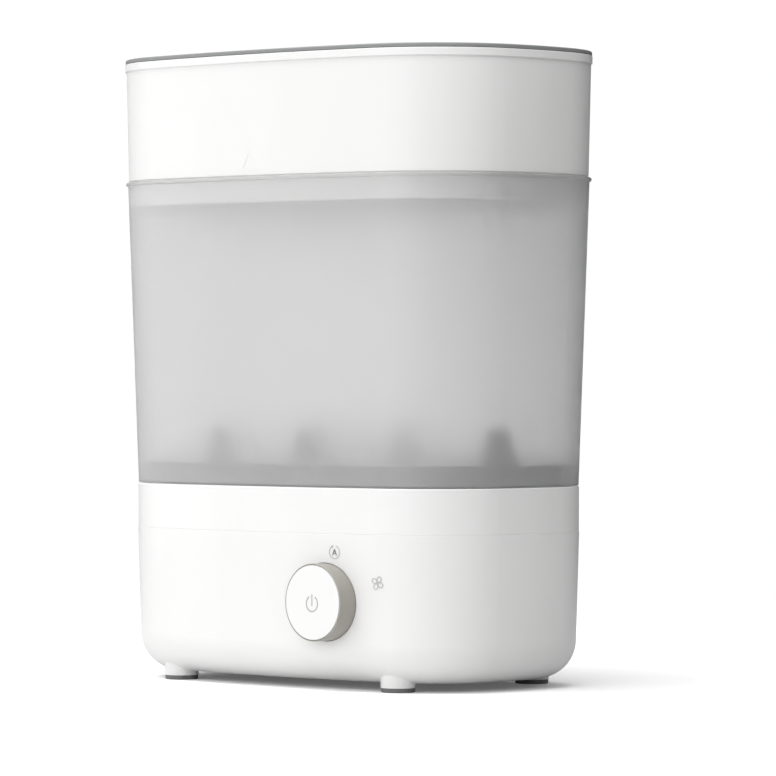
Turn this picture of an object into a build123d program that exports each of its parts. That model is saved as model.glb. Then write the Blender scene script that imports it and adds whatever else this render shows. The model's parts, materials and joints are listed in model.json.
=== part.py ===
from build123d import *
import math
import os

# Electric steam sterilizer and dryer for baby bottles.
# A base with a water basin, heater, blower and control knob carries a frosted bottle basket,
# a white small-item basket on top of it, and a lid. Millimetres, +Z up, front faces -Y,
# origin on the floor under the middle of the body.

# ---- Outline shared by every tier: an oval of tangent arcs, measured at the lid's edge ----
HALF_WIDTH = 146.5
HALF_DEPTH = 88.0
FRONT_R = 638.0
END_R = 168.0
CORNER_R = 65.4

# ---- Heights of the stack ----
UNDERSIDE_Z = 4.8
SPLIT_Z = 87.8
BASE_TOP_Z = 113.4
BASKET_TOP_Z = 287.8
SMALL_TOP_Z = 356.5
LID_TOP_Z = 359.0

# ---- Insets of the outer walls from the shared outline ----
HOUSING_TOP_INSET = 7.5
HOUSING_DRAFT = 0.0292
COLLAR_LOW_INSET = 7.7
COLLAR_TOP_INSET = 7.6
BASKET_LOW_INSET = 7.85
BASKET_HIGH_INSET = 1.6
BEAD_INSET, BEAD_H = 0.5, 2.2
SMALL_LOW_INSET = 2.2
SMALL_HIGH_INSET = 0.65
LID_INSET = 0.2

# ---- Walls and gaps ----
HOUSING_WALL = 2.4
BASKET_WALL = 2.0
BOTTOM_FILLET = 21.5
SEAM_BREAK_R = 0.35  # rounding of the two edges that meet at the housing seam
FIT_GAP = 0.3
PAST = 1.0  # how far a cutting tool runs past the face it cuts

# ---- Base fittings ----
FOOT_X, FOOT_Y, FOOT_R = 87.0, 55.0, 9.8
PAD_HEIGHT, PLUG_RISE = 2.5, 2.2
SCREW_X, SCREW_Y = 104.0, 30.0
SCREW_SEAT_Z, BOSS_Z = 20.0, 24.0
DECK_LOW_Z, DECK_Z = 96.5, 99.0

# ---- Heater ----
HEATER_X = -45.0
HEATER_HOLE_R = 45.0
FLANGE_R = 49.5
GASKET_H = 1.0
PLATE_T = 1.2
DISH_DEPTH = 3.0

# ---- Blower, duct and filter ----
FAN_X, FAN_Y = 48.0, 12.0
VOLUTE_R = 34.0
BLOWER_Z0, BLOWER_Z1 = 9.0, 41.0
BLADES = 26
DUCT = (83.3, 113.0, -18.0, 10.0)
DUCT_WALL = 2.0
FILTER_X, FILTER_Z = 48.0, 48.0
FILTER_W, FILTER_H = 64.0, 40.0

# ---- Knob, button and control board ----
KNOB_X, KNOB_Z = 52.0, 49.7
KNOB_R, POCKET_GAP = 21.7, 0.35
KNOB_FRONT_Y = -87.2
POCKET_Y = -72.0
SLEEVE_R, SLEEVE_BORE_R = 10.0, 7.6
BUTTON_R, BUTTON_PROUD, BUTTON_TRAVEL = 20.8, 0.3, 1.2
AUTO_ANGLE, DRY_ANGLE = 77.0, 17.0  # knob positions, anticlockwise from +X seen from the front
BRACKET_Y = -62.0
BOARD_Y = -56.0
AUTO_ICON = (59.5, 77.7)
DRY_ICON = (88.9, 61.2)
INK = 0.2  # how far printed marks stand proud

# ---- Cord gland ----
GLAND_X, GLAND_Z = -70.0, 34.0
GLAND_BORE_R = 3.3
GLAND_BACK_Y, GLAND_SEAT_Y = 68.0, 73.6

# ---- Bottle rack ----
RACK_Z, RACK_T = 115.0, 2.0
RACK_RIM_H, RACK_RIM_WALL = 11.0, 1.6
POSTS = [(-70.0, -38.0), (0.0, -38.0), (112.0, 0.0), (0.0, 38.0), (-70.0, 38.0)]
POST_H, POST_LOW_R, POST_TOP_R = 30.0, 13.0, 5.0
TRAY_Z = 275.8

# ---- Lid ----
WELL_L, WELL_W, WELL_FLOOR_Z = 116.0, 64.0, 341.5


# =============================== outline helpers ===============================
def unit(x, y):
    length = math.hypot(x, y)
    return x / length, y / length


def corner_centre():
    """Centre of the corner arc that is tangent to the front arc and the end arc."""
    front_y = FRONT_R - HALF_DEPTH
    end_x = HALF_WIDTH - END_R
    front_reach, end_reach = FRONT_R - CORNER_R, END_R - CORNER_R
    gap = math.hypot(end_x, front_y)
    along = (front_reach**2 - end_reach**2 + gap**2) / (2 * gap)
    across = math.sqrt(front_reach**2 - along**2)
    dx, dy = end_x / gap, -front_y / gap
    return along * dx - across * dy, front_y + along * dy + across * dx


CORNER_X, CORNER_Y = corner_centre()


def outline(inset):
    """The oval as a face at z 0, moved inwards by inset all round."""
    radius = CORNER_R - inset
    front_dir = unit(CORNER_X, CORNER_Y - (FRONT_R - HALF_DEPTH))
    end_dir = unit(CORNER_X + END_R - HALF_WIDTH, CORNER_Y)
    mid_dir = unit(front_dir[0] + end_dir[0], front_dir[1] + end_dir[1])
    fx, fy = (CORNER_X + radius * front_dir[0], CORNER_Y + radius * front_dir[1])
    mx, my = (CORNER_X + radius * mid_dir[0], CORNER_Y + radius * mid_dir[1])
    ex, ey = (CORNER_X + radius * end_dir[0], CORNER_Y + radius * end_dir[1])
    a, b = HALF_WIDTH - inset, HALF_DEPTH - inset
    arcs = [
        ThreePointArc((-fx, fy), (0, -b), (fx, fy)),
        ThreePointArc((fx, fy), (mx, my), (ex, ey)),
        ThreePointArc((ex, ey), (a, 0), (ex, -ey)),
        ThreePointArc((ex, -ey), (mx, -my), (fx, -fy)),
        ThreePointArc((fx, -fy), (0, b), (-fx, -fy)),
        ThreePointArc((-fx, -fy), (-mx, -my), (-ex, -ey)),
        ThreePointArc((-ex, -ey), (-a, 0), (-ex, ey)),
        ThreePointArc((-ex, ey), (-mx, my), (-fx, fy)),
    ]
    return make_face(arcs)


def oval(z0, inset0, z1, inset1):
    """A drafted oval body between two heights."""
    low, high = Pos(0, 0, z0) * outline(inset0), Pos(0, 0, z1) * outline(inset1)
    return loft([low, high], ruled=True)


def column(x, y, z0, z1, radius):
    return Pos(x, y, (z0 + z1) / 2) * Cylinder(radius, z1 - z0)


def block(x0, x1, y0, y1, z0, z1):
    centre = Pos((x0 + x1) / 2, (y0 + y1) / 2, (z0 + z1) / 2)
    return centre * Box(x1 - x0, y1 - y0, z1 - z0)


def rod(x, z, y0, y1, radius):
    """A cylinder along Y."""
    return Pos(x, (y0 + y1) / 2, z) * Rot(90, 0, 0) * Cylinder(radius, y1 - y0)


def front_prism(sketch, x, z, y0, y1):
    """A sketch drawn as seen from the front, at (x, z), pushed back from y0 to y1."""
    plane = Plane(origin=(x, y0, z), x_dir=(1, 0, 0), z_dir=(0, -1, 0))
    return extrude(plane * sketch, amount=-(y1 - y0))


def lower_edges(shape):
    return shape.edges().group_by(Axis.Z)[0]


def upper_edges(shape):
    return shape.edges().group_by(Axis.Z)[-1]


def housing_inset(z):
    return HOUSING_TOP_INSET + HOUSING_DRAFT * (SPLIT_Z - z)


def basket_inset(z):
    share = (z - BASE_TOP_Z) / (BASKET_TOP_Z - BASE_TOP_Z)
    return BASKET_LOW_INSET + share * (BASKET_HIGH_INSET - BASKET_LOW_INSET)


def small_inset(z):
    share = (z - BASKET_TOP_Z) / (SMALL_TOP_Z - BASKET_TOP_Z)
    return SMALL_LOW_INSET + share * (SMALL_HIGH_INSET - SMALL_LOW_INSET)


def mirrored(points):
    """Every sign combination of the given (x, y) points."""
    return [(sx * x, sy * y) for x, y in points for sx in (-1, 1) for sy in (-1, 1)]


def slot_rows(rows, width, length, z0, z1, turn=0):
    """Vertical slot cutters centred on the given points."""
    cutter = extrude(SlotOverall(length, width), amount=z1 - z0)
    return [Pos(x, y, z0) * Rot(0, 0, turn) * cutter for x, y in rows]


def screw(x, y, z, head_r, head_h, shank_r, length, up=True):
    """A pan-head screw whose head seat is at z. Its shank points up, or down."""
    sign = 1 if up else -1
    head = column(x, y, *sorted((z - sign * head_h, z)), head_r)
    shank = column(x, y, *sorted((z, z + sign * length)), shank_r)
    drive_z = z - sign * head_h
    drive = column(x, y, *sorted((drive_z - sign, drive_z + sign * head_h * 0.5)), head_r * 0.35)
    return head + shank - drive


# =============================== base housing ===============================
def housing_solid(extra=0.0):
    """The lower housing's outer form, or that form grown outwards by extra."""
    z0 = UNDERSIDE_Z - extra
    body = oval(z0, housing_inset(UNDERSIDE_Z) - extra, SPLIT_Z, HOUSING_TOP_INSET - extra)
    body = fillet(upper_edges(body), SEAM_BREAK_R)
    return fillet(lower_edges(body), BOTTOM_FILLET + extra)


def housing_hollow():
    z0 = UNDERSIDE_Z + HOUSING_WALL
    top = SPLIT_Z + PAST
    body = oval(z0, housing_inset(z0) + HOUSING_WALL, top, housing_inset(top) + HOUSING_WALL)
    return fillet(lower_edges(body), BOTTOM_FILLET - HOUSING_WALL)


FILTER_CORNER_R = 6.0


def filter_prism(gap):
    """The filter door's outline, pushed through the rear wall, smaller by gap all round."""
    shape = RectangleRounded(FILTER_W - 2 * gap, FILTER_H - 2 * gap, FILTER_CORNER_R - gap)
    return front_prism(shape, FILTER_X, FILTER_Z, 40.0, 100.0)


BLOWER_LUGS = [
    (FAN_X + 39 * math.cos(math.radians(a)), FAN_Y + 39 * math.sin(math.radians(a)))
    for a in (55, 165, 250)
]
POWER_BOARD = (-94.0, -22.0, -46.0, 26.0)
POWER_BOARD_Z, BOARD_T = 18.0, 1.6
POWER_STANDS = [(-89.0, -41.0), (-27.0, -41.0), (-89.0, 21.0), (-27.0, 21.0)]
STAND_R = 3.2
POCKET_BACK_Y = POCKET_Y + HOUSING_WALL
BRACKET_SCREWS = [(KNOB_X + 15.2 * sx, KNOB_Z + 15.2 * sz) for sx in (-1, 1) for sz in (-1, 1)]


def make_lower_housing():
    outer, hollow = housing_solid(), housing_hollow()
    shell = outer - hollow
    feet = [column(x, y, PAD_HEIGHT, BOSS_Z, FOOT_R) for x, y in mirrored([(FOOT_X, FOOT_Y)])]
    shell += [foot - hollow for foot in feet]
    floor_z = UNDERSIDE_Z + 1
    wells = mirrored([(SCREW_X, SCREW_Y)])
    shell += [column(x, y, floor_z, BOSS_Z, 6.2) for x, y in wells]
    shell += [column(x, y, floor_z, POWER_BOARD_Z, STAND_R) for x, y in POWER_STANDS]
    shell += [column(x, y, floor_z, BLOWER_Z0, 4.0) for x, y in BLOWER_LUGS]
    cup = rod(KNOB_X, KNOB_Z, -82.0, POCKET_BACK_Y, KNOB_R + 3.0)
    shell += cup & outer
    shell += [rod(x, z, POCKET_BACK_Y - 1, BRACKET_Y, 3.2) for x, z in BRACKET_SCREWS]
    gland_seat = rod(GLAND_X, GLAND_Z, GLAND_BACK_Y, 78.0, 11.5)
    shell += gland_seat & outer

    plug_top = PAD_HEIGHT + PLUG_RISE + 0.2
    pad_plug = [column(x, y, 0.0, plug_top, 5.1) for x, y in mirrored([(FOOT_X, FOOT_Y)])]
    counterbores = [column(x, y, UNDERSIDE_Z - PAST, SCREW_SEAT_Z, 4.4) for x, y in wells]
    screw_holes = [column(x, y, SCREW_SEAT_Z - PAST, BOSS_Z + PAST, 1.8) for x, y in wells]
    board_pilots = [column(x, y, 9.0, POWER_BOARD_Z + PAST, 1.2) for x, y in POWER_STANDS]
    blower_pilots = [column(x, y, 6.0, BLOWER_Z0 + PAST, 1.25) for x, y in BLOWER_LUGS]
    bracket_pilots = [rod(x, z, POCKET_BACK_Y + 0.6, BRACKET_Y + PAST, 1.2) for x, z in BRACKET_SCREWS]
    pocket = rod(KNOB_X, KNOB_Z, -95.0, POCKET_Y, KNOB_R + POCKET_GAP)
    sleeve_hole = rod(KNOB_X, KNOB_Z, -80.0, -60.0, SLEEVE_R + 0.05)
    gland_hole = rod(GLAND_X, GLAND_Z, 60.0, 90.0, 6.5)
    gland_face = rod(GLAND_X, GLAND_Z, GLAND_SEAT_Y, 90.0, 10.0)
    vent_places = [(-82 + 8 * i, -10) for i in range(7)]
    vents = slot_rows(vent_places, 3.0, 44.0, UNDERSIDE_Z - PAST, 8.0, 90)
    cuts = pad_plug + counterbores + screw_holes + board_pilots + blower_pilots + bracket_pilots
    cuts += vents + [pocket, sleeve_hole, gland_hole, gland_face, filter_prism(0.0)]
    return shell - cuts


def make_foot_pads():
    pads = []
    for x, y in mirrored([(FOOT_X, FOOT_Y)]):
        disc = chamfer(lower_edges(column(x, y, 0.0, PAD_HEIGHT, FOOT_R - 0.3)), 0.5)
        pads.append(disc + column(x, y, PAD_HEIGHT - 0.5, PAD_HEIGHT + PLUG_RISE, 5.0))
    return Compound(children=pads)


def outlet_opening(z0, z1):
    x0, x1, y0, y1 = DUCT
    return block(x0 + DUCT_WALL, x1 - DUCT_WALL, y0 + DUCT_WALL, y1 - DUCT_WALL, z0, z1)


CLAMP_SCREWS = [
    (HEATER_X + 55 * math.cos(math.radians(a)), 55 * math.sin(math.radians(a)))
    for a in (60, 180, 300)
]


LEDGE_Z, SEAL_H, TONGUE_Z = 92.5, 0.8, 84.0
COLLAR_WALL = 2.5


def make_upper_housing():
    """The collar: a ring on the lower housing with a ledge for the deck and a locating tongue."""
    top = BASE_TOP_Z + PAST
    ring = oval(SPLIT_Z, COLLAR_LOW_INSET, BASE_TOP_Z, COLLAR_TOP_INSET)
    ring = fillet(upper_edges(ring), 0.8)
    ring = fillet(lower_edges(ring), SEAM_BREAK_R)
    inner_low, inner_top = COLLAR_LOW_INSET + COLLAR_WALL, COLLAR_TOP_INSET + COLLAR_WALL
    ring -= oval(SPLIT_Z - PAST, inner_low, top, inner_top)
    ledge_top = DECK_LOW_Z - SEAL_H
    ledge = oval(LEDGE_Z, 9.0, ledge_top, 9.0) - oval(LEDGE_Z - PAST, 13.0, ledge_top + PAST, 13.0)
    tongue_top = LEDGE_Z + PAST
    tongue = oval(TONGUE_Z, 10.6, tongue_top, 10.4)
    tongue -= oval(TONGUE_Z - PAST, 12.4, tongue_top + PAST, 12.2)
    return ring + ledge + tongue


def make_basin_seal():
    low, top = DECK_LOW_Z - SEAL_H, DECK_LOW_Z
    return oval(low, 10.7, top, 10.7) - oval(low - PAST, 12.7, top + PAST, 12.7)


def make_basin_deck():
    """The basin's floor, with the heater opening, the air outlet and the screw posts under it."""
    edge = COLLAR_LOW_INSET + COLLAR_WALL + FIT_GAP
    body = oval(DECK_LOW_Z, edge, DECK_Z, edge)
    x0, x1, y0, y1 = DUCT
    body += block(x0, x1, y0, y1, DECK_LOW_Z, DECK_Z + 6)
    posts = mirrored([(SCREW_X, SCREW_Y)])
    body += [column(x, y, BOSS_Z, DECK_LOW_Z + PAST, 5.0) for x, y in posts]
    body += [column(x, y, DECK_LOW_Z - 6, DECK_LOW_Z + PAST, 3.6) for x, y in CLAMP_SCREWS]
    pilots = [column(x, y, BOSS_Z - PAST, BOSS_Z + 15, 1.55) for x, y in posts]
    clamp_pilots = [column(x, y, 89.0, 96.0, 1.25) for x, y in CLAMP_SCREWS]
    heater_hole = column(HEATER_X, 0, DECK_LOW_Z - PAST, DECK_Z + PAST, HEATER_HOLE_R)
    return body - pilots - clamp_pilots - heater_hole - outlet_opening(DECK_LOW_Z - PAST, 110.0)


def make_housing_screws():
    places = mirrored([(SCREW_X, SCREW_Y)])
    return Compound(children=[screw(x, y, SCREW_SEAT_Z, 3.6, 2.4, 1.5, 17.0) for x, y in places])


# =============================== heater ===============================
def ring_z(x, y, z0, z1, r_out, r_in):
    return column(x, y, z0, z1, r_out) - column(x, y, z0 - PAST, z1 + PAST, r_in)


GASKET_TOP_Z = DECK_Z + GASKET_H
SPREADER_T = 4.0


def make_heater_gasket():
    flat = ring_z(HEATER_X, 0, DECK_Z, GASKET_TOP_Z, FLANGE_R + 0.5, 44.0)
    lip = ring_z(HEATER_X, 0, DECK_LOW_Z, DECK_Z, HEATER_HOLE_R, 44.0)
    return flat + lip


def make_heating_plate():
    z = GASKET_TOP_Z
    outline_points = [
        (0, z - DISH_DEPTH), (40.5, z - DISH_DEPTH), (43.0, z), (FLANGE_R, z),
        (FLANGE_R, z + PLATE_T), (42.4, z + PLATE_T), (40.0, z - DISH_DEPTH + PLATE_T),
        (0, z - DISH_DEPTH + PLATE_T),
    ]
    profile = Plane.XZ * make_face(Polyline(*outline_points, close=True))
    return Pos(HEATER_X, 0, 0) * revolve(profile, Axis.Z)


SPREADER_TOP_Z = GASKET_TOP_Z - DISH_DEPTH
SPREADER_Z = SPREADER_TOP_Z - SPREADER_T
ELEMENT_R, ELEMENT_TUBE_R = 28.0, 3.3
ELEMENT_Z = SPREADER_Z - ELEMENT_TUBE_R + 0.9


def heating_loop(tube_r):
    """The heating tube: an open ring with its ends turned down."""
    gap_angle, drop = 40.0, 12.0
    arc = CenterArc((0, 0, 0), ELEMENT_R, 90 + gap_angle / 2, 360 - gap_angle)
    section = Plane(origin=arc @ 0, z_dir=arc % 0) * Circle(tube_r)
    loop = sweep(section, path=arc)
    for end in (arc @ 0, arc @ 1):
        loop += column(end.X, end.Y, -drop, 0, tube_r) + Pos(end.X, end.Y, 0) * Sphere(tube_r)
    return Pos(HEATER_X, 0, ELEMENT_Z) * loop


def make_heating_element():
    return heating_loop(ELEMENT_TUBE_R)


def make_heat_spreader():
    disc = column(HEATER_X, 0, SPREADER_Z, SPREADER_TOP_Z, 38.0)
    return disc - heating_loop(ELEMENT_TUBE_R + 0.05)


def make_heater_clamp():
    """A sheet spider that pulls the heater up against its gasket."""
    z1 = DECK_LOW_Z - 6
    clamp = ring_z(HEATER_X, 0, z1 - 1.5, z1, 60.0, 40.0)
    clamp -= [block(HEATER_X - 62, HEATER_X - 50, -62, -12, z1 - 3, z1 + 3),
              block(HEATER_X - 62, HEATER_X - 50, 12, 62, z1 - 3, z1 + 3)]
    return clamp - [column(x, y, z1 - 3, z1 + 1, 1.7) for x, y in CLAMP_SCREWS]


def make_clamp_screws():
    seat = DECK_LOW_Z - 7.5
    return Compound(children=[screw(x, y, seat, 2.8, 1.8, 1.2, 6.0) for x, y in CLAMP_SCREWS])


def make_thermostat():
    body = column(HEATER_X, 0, SPREADER_Z - 9, SPREADER_Z, 8.2)
    tabs = block(HEATER_X - 13, HEATER_X - 7, -2.4, 2.4, SPREADER_Z - 8, SPREADER_Z - 7.2)
    tabs += block(HEATER_X + 7, HEATER_X + 13, -2.4, 2.4, SPREADER_Z - 8, SPREADER_Z - 7.2)
    return body + tabs


def make_thermal_fuse():
    z = SPREADER_Z - 2.6
    can = Pos(HEATER_X, -15, z) * Rot(0, 90, 0) * Cylinder(2.1, 11)
    leads = Pos(HEATER_X, -15, z) * Rot(0, 90, 0) * Cylinder(0.5, 24)
    return can + leads


# =============================== blower and air path ===============================
def volute(shrink, z0, z1):
    body = column(FAN_X, FAN_Y, z0, z1, VOLUTE_R - shrink)
    y0, y1 = FAN_Y - VOLUTE_R + shrink, 8.0 - shrink
    return body + block(FAN_X, DUCT[0], y0, y1, z0, z1)


def make_blower_housing():
    cup = volute(0.0, BLOWER_Z0, BLOWER_Z1 - 2)
    cup -= volute(2.2, BLOWER_Z0 + 2, BLOWER_Z1)
    y0, y1 = FAN_Y - VOLUTE_R + 2.2, 5.8
    cup -= block(DUCT[0] - 6, DUCT[0] + PAST, y0, y1, BLOWER_Z0 + 2, BLOWER_Z1)
    for x, y in BLOWER_LUGS:
        lug_x, lug_y = (x + FAN_X) / 2, (y + FAN_Y) / 2
        turn = math.degrees(math.atan2(y - FAN_Y, x - FAN_X))
        arm = Pos(lug_x, lug_y, BLOWER_Z0 + 1.5) * Rot(0, 0, turn) * Box(39, 8, 3)
        lug = arm + column(x, y, BLOWER_Z0, BLOWER_Z0 + 3, 4)
        cup += lug - column(FAN_X, FAN_Y, 0, 60, VOLUTE_R - 1)
        cup -= column(x, y, 0, 60, 1.6)
    return cup - column(FAN_X, FAN_Y, 0, 60, 6.0)


def make_blower_cover():
    plate = volute(0.0, BLOWER_Z1 - 2, BLOWER_Z1)
    plate -= column(FAN_X, FAN_Y, 0, 60, 20.0)
    return plate + ring_z(FAN_X, FAN_Y, BLOWER_Z1 - 2, BLOWER_Z1 + 2, 22.0, 20.0)


def make_blower_screws():
    seat = BLOWER_Z0 + 3
    return Compound(children=[screw(x, y, seat, 2.8, 1.8, 1.2, 5.5, False) for x, y in BLOWER_LUGS])


def make_fan_motor():
    base = column(FAN_X, FAN_Y, BLOWER_Z0, BLOWER_Z0 + 2, 5.9)
    base += column(FAN_X, FAN_Y, BLOWER_Z0 + 2, BLOWER_Z0 + 3.2, 11.5)
    stator = column(FAN_X, FAN_Y, BLOWER_Z0 + 3.2, BLOWER_Z0 + 12, 11.0)
    notches = [
        Pos(FAN_X, FAN_Y, 0) * Rot(0, 0, a) * block(7.0, 12.0, -1.0, 1.0, BLOWER_Z0 + 3.2, 30.0)
        for a in range(0, 360, 60)
    ]
    return base + stator - notches - column(FAN_X, FAN_Y, BLOWER_Z0 + 1, 40, 1.55)


def make_impeller():
    z0, z1 = BLOWER_Z0 + 3.5, BLOWER_Z1 - 4
    hub = column(FAN_X, FAN_Y, z0, BLOWER_Z0 + 16, 14.0)
    hub -= column(FAN_X, FAN_Y, z0 - 1, BLOWER_Z0 + 14, 12.4)
    disc = ring_z(FAN_X, FAN_Y, z0, z0 + 1.5, 29.0, 13.0)
    rim = ring_z(FAN_X, FAN_Y, z1 - 1.5, z1, 29.0, 26.5)
    body = hub + disc + rim
    blade = Pos(24.2, 0, (z0 + z1) / 2) * Rot(0, 0, 35) * Box(8.6, 1.0, z1 - z0 - 0.4)
    turns = [Rot(0, 0, 360 * i / BLADES) for i in range(BLADES)]
    body += [Pos(FAN_X, FAN_Y, 0) * turn * blade for turn in turns]
    body -= ring_z(FAN_X, FAN_Y, 0, 60, 40.0, 29.0)
    return body - column(FAN_X, FAN_Y, 0, 60, 1.5)


def make_motor_shaft():
    return column(FAN_X, FAN_Y, BLOWER_Z0 + 1.5, BLOWER_Z0 + 18, 1.5)


def make_air_duct():
    x0, x1, y0, y1 = DUCT
    z0, z1 = BLOWER_Z0, DECK_LOW_Z
    tube = block(x0, x1, y0, y1, z0, z1) - outlet_opening(z0 + DUCT_WALL, z1 + PAST)
    mouth_y0 = max(FAN_Y - VOLUTE_R + 2.2, y0 + DUCT_WALL)
    return tube - block(x0 - PAST, x0 + 5, mouth_y0, 5.8, BLOWER_Z0 + 2, BLOWER_Z1 - 2)


PTC_Z0, PTC_Z1 = 60.0, 82.0


def make_drying_heater():
    """Finned ceramic heater that warms the drying air."""
    x0, x1, y0, y1 = (DUCT[0] + 2.5, DUCT[1] - 2.5, DUCT[2] + 2.5, DUCT[3] - 2.5)
    frame = block(x0, x1, y0, y1, PTC_Z0, PTC_Z1)
    frame -= block(x0 + 1.5, x1 - 1.5, y0 + 1.5, y1 - 1.5, PTC_Z0 - 1, PTC_Z1 + 1)
    fins = [block(x0 + 1, x1 - 1, y, y + 0.6, PTC_Z0 + 1, PTC_Z1 - 1)
            for y in [y0 + 3.0 + 2.4 * i for i in range(8)]]
    bars = [block(x, x + 2.2, y0 + 1, y1 - 1, PTC_Z0 + 3, PTC_Z1 - 3) for x in (x0 + 6, x1 - 8.2)]
    return frame + fins + bars


def make_outlet_cap():
    x0, x1, y0, y1 = DUCT
    cap = block(x0 - 5, x1 + 5, y0 - 5, y1 + 5, DECK_Z, BASE_TOP_Z - 0.5)
    cap = fillet(cap.edges().filter_by(Axis.Z), 6.0)
    cap = fillet(upper_edges(cap), 2.0)
    cap -= block(x0 - 3.2, x1 + 3.2, y0 - 3.2, y1 + 3.2, DECK_Z - 1, BASE_TOP_Z - 2.2)
    for i in range(5):
        x = x0 + 3 + 6 * i
        cap -= block(x, x + 3, y0 - 7, y1 + 7, DECK_Z + 4.5, DECK_Z + 8.5)
    return cap


def make_filter_holder():
    x0, x1 = FILTER_X - 30, FILTER_X + 30
    z0, z1 = FILTER_Z - 18, FILTER_Z + 18
    tube = block(x0 - 2, x1 + 2, 52.0, 69.0, z0 - 2, z1 + 2)
    tube -= block(x0, x1, 54.0, 70.0, z0, z1)
    windows = [block(x0 + 2 + 8 * i, x0 + 7 + 8 * i, 51.0, 55.0, z0 + 4, z1 - 4) for i in range(7)]
    return tube - windows


def make_air_filter():
    """Pleated filter in its frame, carried by the filter cover."""
    x0, x1 = FILTER_X - 29, FILTER_X + 29
    z0, z1 = FILTER_Z - 17, FILTER_Z + 17
    frame = block(x0, x1, 58.0, 68.0, z0, z1) - block(x0 + 2, x1 - 2, 57.0, 69.0, z0 + 2, z1 - 2)
    pleat_count, depth = 18, 7.0
    pitch = (x1 - x0 - 4) / pleat_count
    fronts = []
    for i in range(pleat_count):
        x = x0 + 2 + pitch * i
        fronts += [(x, 59.5), (x + pitch / 2, 59.5 + depth)]
    fronts.append((x1 - 2, 59.5))
    backs = [(x, y + 1.2) for x, y in reversed(fronts)]
    pleats = extrude(make_face(Polyline(*fronts, *backs, close=True)), amount=z1 - z0 - 4)
    return frame + Pos(0, 0, z0 + 2) * pleats


def make_filter_cover():
    """Rear door: a piece of the housing wall with a grille, and arms that hold the filter."""
    wall = (housing_solid() - housing_hollow()) & filter_prism(0.35)
    wall -= [
        front_prism(Pos(-25 + 5 * i, 0) * SlotOverall(26, 2.4, rotation=90), FILTER_X, FILTER_Z, 60, 100)
        for i in range(11)
    ]
    frame = block(FILTER_X - 29, FILTER_X + 29, 68.0, 72.0, FILTER_Z - 17, FILTER_Z + 17)
    frame -= block(FILTER_X - 27, FILTER_X + 27, 67.0, 76.0, FILTER_Z - 15, FILTER_Z + 15)
    return wall + (frame & housing_solid())


# =============================== electronics ===============================
def make_power_board():
    x0, x1, y0, y1 = POWER_BOARD
    board = block(x0, x1, y0, y1, POWER_BOARD_Z, POWER_BOARD_Z + BOARD_T)
    return board - [column(x, y, 0, 40, 1.5) for x, y in POWER_STANDS]


def make_power_board_parts():
    z = POWER_BOARD_Z + BOARD_T
    relay = block(-50, -31, -36, -20, z, z + 15.5)
    suppressor = block(-80, -54, -38, -30, z, z + 15)
    transformer = block(-84, -62, -20, 0, z, z + 17) + block(-81, -65, -23, 3, z + 3, z + 14)
    terminal = block(-78, -42, 14, 24, z, z + 12)
    terminal -= [column(x, 19, z + 6, z + 13, 2.0) for x in (-72, -60, -48)]
    capacitor = fillet(upper_edges(column(-44, -6, z, z + 17, 6.0)), 1.0)
    fuse = block(-50, -32, 4, 10, z, z + 2) + Pos(-41, 7, z + 4.5) * Rot(0, 90, 0) * Cylinder(2.6, 18)
    chip = block(-34, -26, -14, -6, z, z + 2)
    parts = [relay, suppressor, transformer, terminal, capacitor, fuse, chip]
    return Compound(children=parts)


def make_board_screws():
    seat = POWER_BOARD_Z + BOARD_T
    return Compound(children=[screw(x, y, seat, 2.6, 1.6, 1.15, 6.5, False) for x, y in POWER_STANDS])


STEM_R = 4.0
GUIDE_FRONT_Y = -78.0


def make_control_bracket():
    """Plate behind the knob with the tube that guides the power button's stem."""
    plate = front_prism(RectangleRounded(44, 44, 7), KNOB_X, KNOB_Z, BRACKET_Y, BRACKET_Y + 2)
    body = plate + rod(KNOB_X, KNOB_Z, GUIDE_FRONT_Y, BRACKET_Y + 1, 6.5)
    body -= rod(KNOB_X, KNOB_Z, GUIDE_FRONT_Y - 1, -50, STEM_R + 0.06)
    return body - [rod(x, z, -70, BOARD_Y, 1.5) for x, z in BRACKET_SCREWS]


CONTROL_BOARD = (20.0, 94.0, 22.0, 82.0)


def make_control_board():
    x0, x1, z0, z1 = CONTROL_BOARD
    board = block(x0, x1, BOARD_Y, BOARD_Y + BOARD_T, z0, z1)
    return board - [rod(x, z, -80, -50, 1.5) for x, z in BRACKET_SCREWS]


def make_board_spacers():
    """Spacers between the bracket and the control board, each round its screw."""
    tubes = [rod(x, z, BRACKET_Y + 2, BOARD_Y, 3.0) - rod(x, z, -70, -50, 1.5) for x, z in BRACKET_SCREWS]
    return Compound(children=tubes)


def make_control_screws():
    """Screws through board, spacer and bracket, with their heads behind the board."""
    seat = BOARD_Y + BOARD_T
    tip = POCKET_BACK_Y + 1.2
    solids = [rod(x, z, seat, seat + 1.8, 2.6) + rod(x, z, tip, seat, 1.15) for x, z in BRACKET_SCREWS]
    return Compound(children=solids)


SWITCH_FACE_Y = -59.6


def make_tact_switch():
    body = block(KNOB_X - 3.1, KNOB_X + 3.1, SWITCH_FACE_Y, BOARD_Y, KNOB_Z - 3.1, KNOB_Z + 3.1)
    return body - rod(KNOB_X, KNOB_Z, SWITCH_FACE_Y - 1, BOARD_Y - 0.4, 1.8)


def make_switch_plunger():
    return rod(KNOB_X, KNOB_Z, SWITCH_FACE_Y - 1.6, BOARD_Y - 0.4 - BUTTON_TRAVEL - 0.3, 1.75)


STEM_END_Y = SWITCH_FACE_Y - 1.6


MAGNET_R = 13.5


def knob_point(radius, angle):
    """A point round the knob's axis, as (x, z)."""
    turn = math.radians(angle)
    return KNOB_X + radius * math.cos(turn), KNOB_Z + radius * math.sin(turn)


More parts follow.
